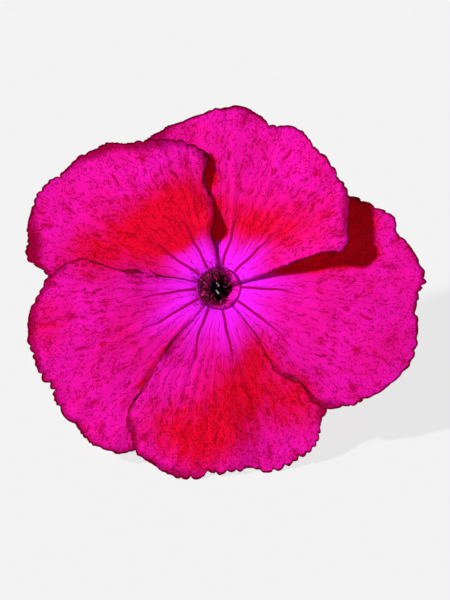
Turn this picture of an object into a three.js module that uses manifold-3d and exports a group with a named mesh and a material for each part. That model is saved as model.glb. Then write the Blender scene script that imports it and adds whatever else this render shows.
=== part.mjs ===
// One picked sweet william bloom (Dianthus barbatus), lying on a table: five free petals whose
// narrow claws stand in a tubular calyx, ten stamens, a pistil with two styles, four epicalyx
// bracts and a short cut stalk. Millimetres, +Z up.
//
// The bloom is built in its own frame, with the throat's centre at the origin, +Z out of the
// face, +X to the viewer's right and +Y to the viewer's up. Two nested groups then lay it down.
import * as THREE from 'three';
import { mergeVertices } from 'three/addons/utils/BufferGeometryUtils.js';
import Module from 'manifold-3d';

const wasm = await Module();
wasm.setup();

// ---- driving dimensions ------------------------------------------------------------------
const THROAT_RADIUS = 1.56; // ring where the spread blades turn down into the tube
const THROAT_DROP = 0.15; // how far below the face plane that ring lies
const FUNNEL_DEPTH = 2.1; // below this the claws stand parallel
const CLAW_RADIUS = 1.1; // mid wall of the ring of claws inside the calyx
const CLAW_BASE_Z = -13.6;
const CLAW_GAP_DEG = 7; // free angle between neighbouring claws
const CLAW_BASE_SHARE = 0.55; // a claw's width at its base, as a share of that at the throat
const PETAL_THICKNESS = 0.18;
const TUBE_OFFSET = 0.22; // the tube stands this far left of the throat's centre
const TUBE_OFFSET_DEPTH = 1.2;

const CALYX_OUTER = 1.9;
const CALYX_WALL = 0.3;
const CALYX_BASE_Z = -15.4;
const CALYX_SINUS_Z = -3.3; // bottom of the notches between the calyx teeth
const CALYX_TOOTH = 2.0;
const CALYX_TOOTH_FLARE = 0.2;
const CALYX_NECK_RADIUS = 0.78; // hole in the calyx base that the receptacle passes through

const BRACT_THICKNESS = 0.16;
const BRACT_CLEARANCE = 0.14;
const BRACT_HALF_WIDTH = 1.15;
const BRACT_AWN_HALF_WIDTH = 0.14;
const BRACT_BODY_SHARE = 0.62; // the rest of a bract's length is its awn

const STALK_RADIUS = 0.68;
const STALK_END_Z = -19.2;
const STALK_CUT_SLANT = 0.35; // height of the slanting cut, per mm across the stalk

const STAMEN_COUNT = 10;
const STAMEN_RING_RADIUS = 0.6;
const FILAMENT_RADIUS = 0.09;
const ANTHER_RADIUS = 0.16;
const ANTHER_HALF_LENGTH = 0.45;
const ANTHER_LEVELS = [-1.35, -2.75]; // outer and inner whorl
const STYLE_RADIUS = 0.1;
const OVARY_RADIUS = 0.42;

const FACE_ELEVATION_DEG = 35.2; // how far the face looks up when the bloom lies down
const FACE_ROLL_DEG = -1.6; // turn in its own plane: it lies on two points of the bottom petal's rim

// ---- small helpers -----------------------------------------------------------------------
const radians = THREE.MathUtils.degToRad;
const clamp = THREE.MathUtils.clamp;
const mix = THREE.MathUtils.lerp;
const smooth = THREE.MathUtils.smoothstep;
const bell = (x, centre, width) => Math.exp(-(((x - centre) / width) ** 2));
const polar = (degrees, radius, z = 0) =>
  new THREE.Vector3(radius * Math.cos(radians(degrees)), radius * Math.sin(radians(degrees)), z);

// The tube leaves the throat a little to the left and then runs straight.
const tubeShift = (z) => (z < 0 ? -TUBE_OFFSET * (1 - Math.exp(z / TUBE_OFFSET_DEPTH)) : 0);

function followTube(geometry) {
  const position = geometry.getAttribute('position');
  for (let i = 0; i < position.count; i++) {
    position.setX(i, position.getX(i) + tubeShift(position.getZ(i)));
  }
  return geometry;
}

// A closed thin sheet: a box whose width and length follow surface(s, v), both from 0 to 1.
function sheet(surface, across, along, thickness) {
  const geometry = new THREE.BoxGeometry(1, 1, 1, across, along, 1);
  const position = geometry.getAttribute('position');
  const step = 1e-3;
  for (let i = 0; i < position.count; i++) {
    const s = 0.5 - position.getX(i);
    const v = position.getY(i) + 0.5;
    const alongV = surface(s, Math.min(v + step, 1)).sub(surface(s, Math.max(v - step, 0)));
    const alongS = surface(Math.min(s + step, 1), v).sub(surface(Math.max(s - step, 0), v));
    const normal = alongV.cross(alongS).normalize();
    const point = surface(s, v).addScaledVector(normal, thickness * position.getZ(i));
    position.setXYZ(i, point.x, point.y, point.z);
  }
  return geometry;
}

// A solid of revolution about +Z from [radius, z] pairs.
function turned(profile, segments) {
  const points = profile.map(([radius, z]) => new THREE.Vector2(radius, z));
  return new THREE.LatheGeometry(points, segments).rotateX(Math.PI / 2);
}

// A rod of the given radius along a smooth line through the points.
function rod(points, radius, sides, steps) {
  const section = new THREE.Shape(
    Array.from({ length: sides }, (_, i) => {
      const angle = (2 * Math.PI * i) / sides;
      return new THREE.Vector2(radius * Math.cos(angle), radius * Math.sin(angle));
    }),
  );
  const path = new THREE.CatmullRomCurve3(points);
  return new THREE.ExtrudeGeometry(section, { steps, extrudePath: path, bevelEnabled: false });
}

// Joins closed geometries into one closed solid.
function joined(...geometries) {
  const solids = geometries.map((geometry) => {
    const bare = geometry.clone();
    bare.deleteAttribute('normal');
    bare.deleteAttribute('uv');
    const merged = mergeVertices(bare.index ? bare.toNonIndexed() : bare, 1e-4);
    return new wasm.Manifold(
      new wasm.Mesh({
        numProp: 3,
        vertProperties: merged.attributes.position.array,
        triVerts: new Uint32Array(merged.index.array),
      }),
    );
  });
  const mesh = solids.reduce((whole, next) => whole.add(next)).getMesh();
  const geometry = new THREE.BufferGeometry();
  geometry.setAttribute('position', new THREE.BufferAttribute(mesh.vertProperties, 3));
  geometry.setIndex(new THREE.BufferAttribute(mesh.triVerts, 1));
  geometry.computeVertexNormals();
  return geometry;
}

// ---- materials ---------------------------------------------------------------------------
const plant = (color, roughness) => new THREE.MeshStandardMaterial({ color, roughness, metalness: 0 });
const petalPink = plant(0xec108e, 0.6);
const calyxGreen = plant(0x5d8a3c, 0.6);
const bractGreen = plant(0x6d9440, 0.65);
const stalkGreen = plant(0x6f9a4b, 0.6);
const antherLilac = plant(0x8f7fa8, 0.8);
const styleWhite = plant(0xe9e4ea, 0.5);

const bloom = new THREE.Group();

function add(name, geometry, material) {
  const mesh = new THREE.Mesh(geometry, material);
  mesh.name = name;
  bloom.add(mesh);
  return mesh;
}

// ---- petals ------------------------------------------------------------------------------
// Angles are in degrees counterclockwise from +X, radii in mm from the throat's centre.
// claw: where the petal stands on the throat ring, from its upper edge to its tucked-under edge.
// margin: the blade's outline from the upper corner round to the tucked-under corner.
// swells: [s, v, width in s, width in v, height], local rises and hollows of the blade.
// Each petal's clockwise edge lies over the next petal, so the five overlap all the way round.
const PETALS = [
  {
    name: 'petal_upper_left',
    claw: [96, 166],
    margin: [
      [97, 9.9], [102, 11.0], [111, 12.0], [121, 12.8], [131, 14.0], [141, 14.6], [151, 15.4],
      [161, 15.2], [170, 14.7], [176, 12.9], [181, 11.4], [184, 9.6],
    ],
    swells: [[0, 0.62, 0.1, 0.12, -0.3], [0.8, 0.95, 0.25, 0.4, 0.3]],
  },
  {
    name: 'petal_top',
    claw: [17, 96],
    margin: [
      [17, 9.5], [22, 10.4], [31, 11.5], [40, 12.2], [51, 12.7], [62, 13.3], [72, 12.9],
      [83, 13.8], [95, 13.3], [106, 12.8], [115, 12.5], [121, 11.6], [125, 9.8],
    ],
    swells: [[0, 0.95, 0.28, 0.5, 1.1], [0.6, 1, 0.3, 0.4, -0.2]],
  },
  {
    name: 'petal_right',
    claw: [-51, 17],
    margin: [
      [-50, 11.2], [-45, 12.7], [-36, 14.0], [-27, 15.0], [-18, 15.4], [-8, 14.9], [2, 15.5],
      [11, 14.9], [18, 14.0], [23, 14.0], [31, 12.7], [37, 11.5], [42, 9.8],
    ],
    swells: [[0.45, 0.8, 0.3, 0.4, 0.35]],
  },
  {
    name: 'petal_bottom',
    claw: [-129, -51],
    margin: [
      [-128, 10.8], [-124, 12.2], [-118, 13.7], [-109, 14.2], [-99, 14.5], [-91, 13.9],
      [-82, 13.8], [-74, 14.4], [-66, 14.2], [-58, 13.8], [-51, 12.5], [-44, 11.3], [-40, 9.6],
    ],
    swells: [[0.42, 0.7, 0.18, 0.5, 0.35], [0.72, 0.6, 0.14, 0.4, -0.3]],
  },
  {
    name: 'petal_lower_left',
    claw: [-194, -129],
    margin: [
      [-191, 10.2], [-186, 12.2], [-178, 13.6], [-169, 14.6], [-160, 15.0], [-151, 14.7],
      [-142, 15.1], [-133, 15.1], [-125, 14.8], [-117, 13.7], [-112, 12.2], [-108, 10.2],
    ],
    swells: [[0.3, 0.8, 0.25, 0.4, 0.3]],
  },
];
const PETAL_ACROSS = 18;
const PETAL_ROWS = 18; // of which CLAW_ROWS follow the tube
const CLAW_ROWS = 8;
const LIFT_IN_TUBE = 0.13; // rise of a petal's upper edge, and dip of its other edge, inside the tube
const LIFT_ON_BLADE = 0.45;

// Height of the blade over the face plane, before the overlap's lift.
function bladeHeight(petal, s, v, radius) {
  const fromThroat = radius - THROAT_RADIUS;
  const bend = -THROAT_DROP * Math.exp(-fromThroat / 0.35);
  const droop = -0.35 * smooth(radius, 6, 16);
  const swell = petal.swells.reduce(
    (sum, [s0, v0, ws, wv, height]) => sum + height * bell(s, s0, ws) * bell(v, v0, wv),
    0,
  );
  return bend + droop + swell * smooth(v, 0.05, 0.5);
}

// The petal's middle surface without its twist: w runs 0..1 up the claw and 1..2 across the blade.
function untwisted(petal, s, w) {
  const [from, to] = petal.claw;
  const half = (to - from - CLAW_GAP_DEG) / 2;
  const middle = (from + to) / 2;
  const throatAngle = middle + (2 * s - 1) * half;
  if (w <= 1) {
    const z = mix(CLAW_BASE_Z, -THROAT_DROP, 1 - (1 - w) ** 2);
    const flare = Math.max(0, 1 + (z + THROAT_DROP) / FUNNEL_DEPTH) ** 2;
    const radius = mix(CLAW_RADIUS, THROAT_RADIUS, flare);
    const share = mix(CLAW_BASE_SHARE, 1, smooth(z, CLAW_BASE_Z, -FUNNEL_DEPTH));
    const point = polar(middle + (throatAngle - middle) * share, radius, z);
    point.x += tubeShift(z + THROAT_DROP);
    return point;
  }
  const v = (w - 1) ** 1.35;
  const outer = petal.curve.getPointAt(clamp(s, 0, 1));
  const point = polar(throatAngle, THROAT_RADIUS).lerp(outer, v);
  point.z = bladeHeight(petal, s, v, Math.hypot(point.x, point.y));
  return point;
}

// The twist: each petal's clockwise edge is lifted and its other edge is tucked down.
function petalSurface(petal, s, w) {
  const at = (atS, atW) => untwisted(petal, clamp(atS, 0, 1), clamp(atW, 0, 2));
  const step = 1e-3;
  const alongW = at(s, w + step).sub(at(s, w - step));
  const alongS = at(s + step, w).sub(at(s - step, w));
  const normal = alongW.cross(alongS).normalize();
  const point = at(s, w);
  const onBlade = smooth(Math.hypot(point.x, point.y), THROAT_RADIUS, 6);
  const lift = mix(LIFT_IN_TUBE, LIFT_ON_BLADE, onBlade);
  return point.addScaledVector(normal, lift * (1 - 2 * s));
}

for (const petal of PETALS) {
  const corners = petal.margin.map(([degrees, radius]) => polar(degrees, radius));
  petal.curve = new THREE.CatmullRomCurve3(corners, false, 'catmullrom', 0.5);
  const clawShare = CLAW_ROWS / PETAL_ROWS;
  const rowToLength = (v) => (v <= clawShare ? v / clawShare : 1 + (v - clawShare) / (1 - clawShare));
  const surface = (s, v) => petalSurface(petal, s, rowToLength(v));
  add(petal.name, sheet(surface, PETAL_ACROSS, PETAL_ROWS, PETAL_THICKNESS), petalPink);
}

// ---- calyx -------------------------------------------------------------------------------
function calyx() {
  const inner = CALYX_OUTER - CALYX_WALL;
  const profile = [
    [CALYX_NECK_RADIUS, CALYX_BASE_Z],
    [1.35, CALYX_BASE_Z + 0.1],
    [1.75, CALYX_BASE_Z + 0.8],
    [CALYX_OUTER, CALYX_BASE_Z + 2.5],
    [CALYX_OUTER, CALYX_SINUS_Z - 1.2],
    [CALYX_OUTER, CALYX_SINUS_Z],
    [inner, CALYX_SINUS_Z],
    [inner, CALYX_SINUS_Z - 1.2],
    [inner, CALYX_BASE_Z + 2.5],
    [1.45, CALYX_BASE_Z + 1],
    [CALYX_NECK_RADIUS, CALYX_BASE_Z + 0.45],
    [CALYX_NECK_RADIUS, CALYX_BASE_Z],
  ];
  const teeth = 5;
  const geometry = turned(profile, teeth * 8);
  const position = geometry.getAttribute('position');
  for (let i = 0; i < position.count; i++) {
    const point = new THREE.Vector3().fromBufferAttribute(position, i);
    if (point.z < CALYX_SINUS_Z - 0.01) continue;
    const turn = (Math.atan2(point.y, point.x) / (2 * Math.PI)) * teeth + 0.5;
    const height = 1 - Math.abs(2 * (turn - Math.floor(turn)) - 1);
    const radius = Math.hypot(point.x, point.y);
    const spread = 1 + (CALYX_TOOTH_FLARE * height) / radius;
    position.setXYZ(i, point.x * spread, point.y * spread, point.z + CALYX_TOOTH * height);
  }
  return followTube(geometry);
}
add('calyx', calyx(), calyxGreen);

// ---- epicalyx bracts ---------------------------------------------------------------------
// s runs across the bract, v from its base up to the tip of its awn.
function bractSurface(direction, reach, spread) {
  return (s, v) => {
    const z = mix(CALYX_BASE_Z - 0.35, reach, v);
    const body = Math.sin(Math.PI * clamp(v / BRACT_BODY_SHARE, 0, 1) ** 0.75);
    const foothold = 0.35 * bell(v, 0, 0.08);
    const halfWidth = BRACT_AWN_HALF_WIDTH + BRACT_HALF_WIDTH * body + foothold;
    const foot = CALYX_OUTER + BRACT_CLEARANCE + BRACT_THICKNESS / 2;
    const radius = foot - 0.42 * bell(v, 0, 0.045) + spread * smooth(v, 0.45, 1);
    const angle = direction + THREE.MathUtils.radToDeg(((2 * s - 1) * halfWidth) / radius);
    const point = polar(angle, radius, z);
    point.x += tubeShift(z);
    return point;
  };
}
[
  ['bract_upper', 90, -2.6, 0.7],
  ['bract_left', 180, -3.4, 0.9],
  ['bract_lower', 270, -2.9, 0.6],
  ['bract_right', 0, -3.2, 0.9],
].forEach(([name, direction, reach, spread]) => {
  const outward = bractSurface(direction, reach, spread);
  add(name, sheet(outward, 6, 16, BRACT_THICKNESS), bractGreen);
});

// ---- stalk with its receptacle -----------------------------------------------------------
function stalk() {
  const profile = [
    [0, STALK_END_Z],
    [STALK_RADIUS, STALK_END_Z],
    [STALK_RADIUS, STALK_END_Z + 1.2],
    [STALK_RADIUS * 0.97, CALYX_BASE_Z - 1.1],
    [1.0, CALYX_BASE_Z - 0.55],
    [1.0, CALYX_BASE_Z - 0.2],
    [CALYX_NECK_RADIUS - 0.14, CALYX_BASE_Z - 0.13],
    [CALYX_NECK_RADIUS - 0.14, CALYX_BASE_Z + 0.6],
    [0.5, CALYX_BASE_Z + 1.1],
    [0, CALYX_BASE_Z + 1.25],
  ];
  const geometry = turned(profile, 20);
  const position = geometry.getAttribute('position');
  for (let i = 0; i < position.count; i++) {
    if (position.getZ(i) > STALK_END_Z + 0.01) continue;
    position.setZ(i, position.getZ(i) + STALK_CUT_SLANT * position.getX(i));
  }
  return followTube(geometry);
}
add('stalk', stalk(), stalkGreen);

// ---- stamens -----------------------------------------------------------------------------
for (let i = 0; i < STAMEN_COUNT; i++) {
  const angle = (360 / STAMEN_COUNT) * i + 9;
  const antherZ = ANTHER_LEVELS[i % 2];
  const base = polar(angle, STAMEN_RING_RADIUS, CALYX_BASE_Z + 1.45);
  const top = polar(angle, STAMEN_RING_RADIUS, antherZ);
  const middle = polar(angle, STAMEN_RING_RADIUS, (base.z + top.z) / 2);
  const filament = rod([base, middle, top], FILAMENT_RADIUS, 6, 4);
  const anther = new THREE.SphereGeometry(1, 8, 6);
  anther.scale(ANTHER_RADIUS, ANTHER_RADIUS, ANTHER_HALF_LENGTH);
  anther.translate(top.x, top.y, top.z);
  const name = `stamen_${String(i + 1).padStart(2, '0')}`;
  add(name, followTube(joined(filament, anther)), antherLilac);
}

// ---- pistil: ovary and two styles --------------------------------------------------------
function pistil() {
  const foot = CALYX_BASE_Z + 1.4;
  const ovary = turned(
    [
      [0, foot],
      [0.3, foot + 0.05],
      [OVARY_RADIUS, foot + 1.2],
      [OVARY_RADIUS, foot + 2.6],
      [0.3, foot + 4],
      [0, foot + 4.6],
    ],
    12,
  );
  const styles = [70, 250].map((angle) =>
    rod(
      [
        polar(angle, 0.13, foot + 3.4),
        polar(angle, 0.16, -6),
        polar(angle, 0.16, -1.6),
        polar(angle, 0.24, -0.85),
        polar(angle + 40, 0.42, -0.5),
      ],
      STYLE_RADIUS,
      6,
      10,
    ),
  );
  return followTube(joined(ovary, ...styles));
}
add('pistil', pistil(), styleWhite);

// ---- laying it down ----------------------------------------------------------------------
bloom.rotation.z = radians(FACE_ROLL_DEG);
const lying = new THREE.Group();
lying.rotation.x = radians(90 - FACE_ELEVATION_DEG);
lying.add(bloom);

const flower = new THREE.Group();
flower.add(lying);
const box = new THREE.Box3().setFromObject(flower, true);
lying.position.set(-(box.min.x + box.max.x) / 2, -(box.min.y + box.max.y) / 2, -box.min.z);
flower.updateMatrixWorld(true);

export default flower;
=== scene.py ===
"""A picked sweet william bloom, lying on a pale table and seen square on to its face."""

import math
import random
from bisect import bisect_right

import bmesh
import bpy
from mathutils import Matrix, Vector, noise


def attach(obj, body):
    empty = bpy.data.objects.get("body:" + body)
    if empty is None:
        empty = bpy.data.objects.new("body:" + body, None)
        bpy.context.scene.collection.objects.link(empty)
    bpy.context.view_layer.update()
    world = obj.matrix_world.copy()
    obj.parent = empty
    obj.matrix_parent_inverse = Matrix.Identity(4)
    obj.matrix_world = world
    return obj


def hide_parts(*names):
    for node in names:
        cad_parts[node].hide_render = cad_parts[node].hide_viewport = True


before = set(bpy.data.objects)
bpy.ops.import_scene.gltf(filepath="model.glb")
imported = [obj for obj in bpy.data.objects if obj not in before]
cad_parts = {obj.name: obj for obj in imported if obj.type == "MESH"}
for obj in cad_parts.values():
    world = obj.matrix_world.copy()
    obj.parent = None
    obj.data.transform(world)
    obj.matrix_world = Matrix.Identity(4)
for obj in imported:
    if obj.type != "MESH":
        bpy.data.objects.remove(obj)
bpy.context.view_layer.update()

# The bloom's own frame, in millimetres: origin at the throat, +Z out of the face, +Y up it.
MM = 0.001
FACE_ELEVATION = math.radians(35.2)
FACE_ROLL = math.radians(-1.6)
THROAT_PLACE = Vector((-0.5034, -3.9238, 11.6556)) * MM
FACE_TURN = Matrix.Rotation(math.pi / 2 - FACE_ELEVATION, 4, "X") @ Matrix.Rotation(FACE_ROLL, 4, "Z")
PLACE = Matrix.Translation(THROAT_PLACE) @ FACE_TURN @ Matrix.Scale(MM, 4)

THROAT_RADIUS = 1.56
THROAT_DROP = 0.15
FUNNEL_DEPTH = 2.1
CLAW_RADIUS = 1.1
CLAW_BASE_Z = -13.6
CLAW_LAP = 8.0
CLAW_BASE_SHARE = 0.55
TUBE_OFFSET = 0.22
TUBE_OFFSET_DEPTH = 1.2
CALYX_OUTER = 1.9
CALYX_BASE_Z = -15.4
CALYX_SINUS_Z = -3.3
CALYX_TOOTH = 2.0
CALYX_TOOTH_FLARE = 0.2
CALYX_NECK_RADIUS = 0.78
BRACT_CLEARANCE = 0.14
BRACT_THICKNESS = 0.16
BRACT_HALF_WIDTH = 1.15
BRACT_AWN_HALF_WIDTH = 0.14
BRACT_BODY_SHARE = 0.62
STALK_RADIUS = 0.68
STALK_END_Z = -19.2
STALK_CUT_SLANT = 0.35
STAMEN_COUNT = 10
STAMEN_RING_RADIUS = 0.6
ANTHER_LEVELS = (-1.35, -2.75)


# ---- numbers -----------------------------------------------------------------------------
def clamp(value, low=0.0, high=1.0):
    return max(low, min(high, value))


def mix(a, b, share):
    return a + (b - a) * share


def smooth(value, low, high):
    t = clamp((value - low) / (high - low))
    return t * t * (3 - 2 * t)


def bell(value, centre, width):
    return math.exp(-(((value - centre) / width) ** 2))


def polar(degrees, radius, z=0.0):
    angle = math.radians(degrees)
    return Vector((radius * math.cos(angle), radius * math.sin(angle), z))


def ripple(x, y, z=0.0):
    return noise.noise(Vector((x, y, z)))


def tube_shift(z):
    """How far to the left the tube has moved at a height under the throat."""
    return -TUBE_OFFSET * (1 - math.exp(z / TUBE_OFFSET_DEPTH)) if z < 0 else 0.0


def follow_tube(point):
    return Vector((point.x + tube_shift(point.z), point.y, point.z))


def turn_between(angle, start):
    """Degrees from one bearing to another, from -180 to 180."""
    return (angle - start + 180) % 360 - 180


def smooth_path(knots, steps):
    """Points evenly spread along a smooth line through the knots."""
    knots = [knots[0] * 2 - knots[1], *knots, knots[-1] * 2 - knots[-2]]
    path = []
    for i in range(1, len(knots) - 2):
        before, start, end, after = knots[i - 1 : i + 3]
        for step in range(steps):
            t = step / steps
            leaving = (end - before) * 0.5 * (t - 2 * t**2 + t**3)
            arriving = (after - start) * 0.5 * (t**3 - t**2)
            path.append(start.lerp(end, 3 * t**2 - 2 * t**3) + (leaving + arriving))
    return [*path, knots[-2]]


def along_profile(profile, share):
    """The radius and height at a share of the way along straight [radius, height] steps."""
    place = share * (len(profile) - 1)
    i = min(int(place), len(profile) - 2)
    return [mix(a, b, place - i) for a, b in zip(profile[i], profile[i + 1])]


def spot_cover(place, spots):
    """How much a place lies under soft round spots, each an x, y, radius and strength."""
    cover = 0
    for x, y, reach, strength in spots:
        cover += strength * bell((place - Vector((x, y, 0))).length, 0, reach)
    return cover


# ---- shader maths ------------------------------------------------------------------------
class Value:
    """A number that varies over a surface, ready for ordinary sums."""

    def __init__(self, finish, socket):
        self.finish = finish
        self.socket = socket

    def maths(self, operation, *others):
        return self.finish.node("ShaderNodeMath", {"operation": operation}, [self, *others])

    def __add__(self, other):
        return self.maths("ADD", other)

    __radd__ = __add__

    def __mul__(self, other):
        return self.maths("MULTIPLY", other)

    __rmul__ = __mul__

    def __sub__(self, other):
        return self.maths("SUBTRACT", other)

    def __rsub__(self, other):
        return self.finish.node("ShaderNodeMath", {"operation": "SUBTRACT"}, [other, self])

    def __truediv__(self, other):
        return self.maths("DIVIDE", other)

    def __pow__(self, other):
        return self.maths("POWER", other)

    def __abs__(self):
        return self.maths("ABSOLUTE")


class Finish:
    """One material and the nodes that make it."""

    def __init__(self, name, **constants):
        self.material = bpy.data.materials.new(name)
        self.material.use_nodes = True
        self.tree = self.material.node_tree
        self.shader = self.tree.nodes["Principled BSDF"]
        for socket, value in constants.items():
            self.shader.inputs[socket.replace("_", " ")].default_value = value

    def node(self, kind, settings=None, inputs=None, output=0):
        node = self.tree.nodes.new(kind)
        for key, value in (settings or {}).items():
            setattr(node, key, value)
        pairs = inputs.items() if isinstance(inputs, dict) else enumerate(inputs or [])
        for key, value in pairs:
            if isinstance(value, Value):
                self.tree.links.new(value.socket, node.inputs[key])
            else:
                node.inputs[key].default_value = value
        return Value(self, node.outputs[output])

    def place(self):
        return self.node("ShaderNodeTexCoord", output="Object")

    def attribute(self, name, output="Vector"):
        return self.node("ShaderNodeAttribute", {"attribute_name": name}, output=output)

    def parts(self, vector):
        split = self.node("ShaderNodeSeparateXYZ", None, [vector]).socket.node
        return [Value(self, output) for output in split.outputs]

    def vector(self, x, y, z=0.0):
        return self.node("ShaderNodeCombineXYZ", None, [x, y, z])

    def noise(self, vector, scale, detail=2.0, roughness=0.5):
        inputs = {"Vector": vector, "Scale": scale, "Detail": detail, "Roughness": roughness}
        return self.node("ShaderNodeTexNoise", None, inputs)

    def rise(self, value, low, high):
        settings = {"interpolation_type": "SMOOTHSTEP"}
        return self.node("ShaderNodeMapRange", settings, {0: value, 1: low, 2: high})

    def fall(self, value, low, high):
        return 1 - self.rise(value, low, high)

    def cloud_and_grain(self, cloud_scale, grain_scale):
        """Broad soft patches and a fine grain, both fixed to the piece."""
        place = self.place()
        return self.noise(place, cloud_scale, 3.0), self.noise(place, grain_scale, 3.0, 0.6)

    def cells(self, vector, scale):
        """Distance to the nearest of many scattered dots."""
        inputs = {"Vector": vector, "Scale": scale, "Randomness": 1.0}
        return self.node("ShaderNodeTexVoronoi", None, inputs)

    def colour(self, below, above, share):
        inputs = {0: share, 6: below, 7: above}
        return self.node("ShaderNodeMix", {"data_type": "RGBA"}, inputs, output=2)

    def bump(self, height, distance, strength=1.0):
        inputs = {"Height": height, "Distance": distance, "Strength": strength}
        return self.node("ShaderNodeBump", None, inputs)

    def feed(self, **sockets):
        for socket, value in sockets.items():
            self.tree.links.new(value.socket, self.shader.inputs[socket.replace("_", " ")])
        return self.material

    def let_light_through(self, colour, share):
        """Mixes in light that passes through a thin leaf or petal."""
        skin = Value(self, self.shader.outputs[0])
        glow = self.node("ShaderNodeBsdfTranslucent", None, {"Color": colour})
        both = self.node("ShaderNodeMixShader", None, [share, skin, glow])
        self.tree.links.new(both.socket, self.tree.nodes["Material Output"].inputs["Surface"])
        return self.material


def srgb(red, green, blue):
    """A colour from its usual 0 to 255 numbers."""

    def linear(channel):
        share = channel / 255
        return share / 12.92 if share <= 0.04045 else ((share + 0.055) / 1.055) ** 2.4

    return (linear(red), linear(green), linear(blue), 1.0)


# ---- pieces ------------------------------------------------------------------------------
def piece(name, mesh_builder, material, nodes):
    """Makes one object in the bloom's frame, laid in its place, in metres."""
    bm = bmesh.new()
    mesh_builder(bm)
    bmesh.ops.transform(bm, matrix=PLACE, verts=bm.verts)
    # Rim teeth that reach the table bend flat along it.
    for vert in bm.verts:
        vert.co.z = max(vert.co.z, PETAL_THICKNESS / 2 * MM)
    mesh = bpy.data.meshes.new(name)
    bm.to_mesh(mesh)
    bm.free()
    mesh.polygons.foreach_set("use_smooth", [True] * len(mesh.polygons))
    mesh.materials.append(material)
    made = bpy.data.objects.new(name, mesh)
    bpy.context.scene.collection.objects.link(made)
    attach(made, "root")
    if nodes:
        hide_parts(*nodes)
    return made


def thicken(made, thickness, offset=0.0):
    wall = made.modifiers.new("wall", "SOLIDIFY")
    wall.thickness = thickness * MM
    wall.offset = offset
    wall.use_even_offset = False
    return made


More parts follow.
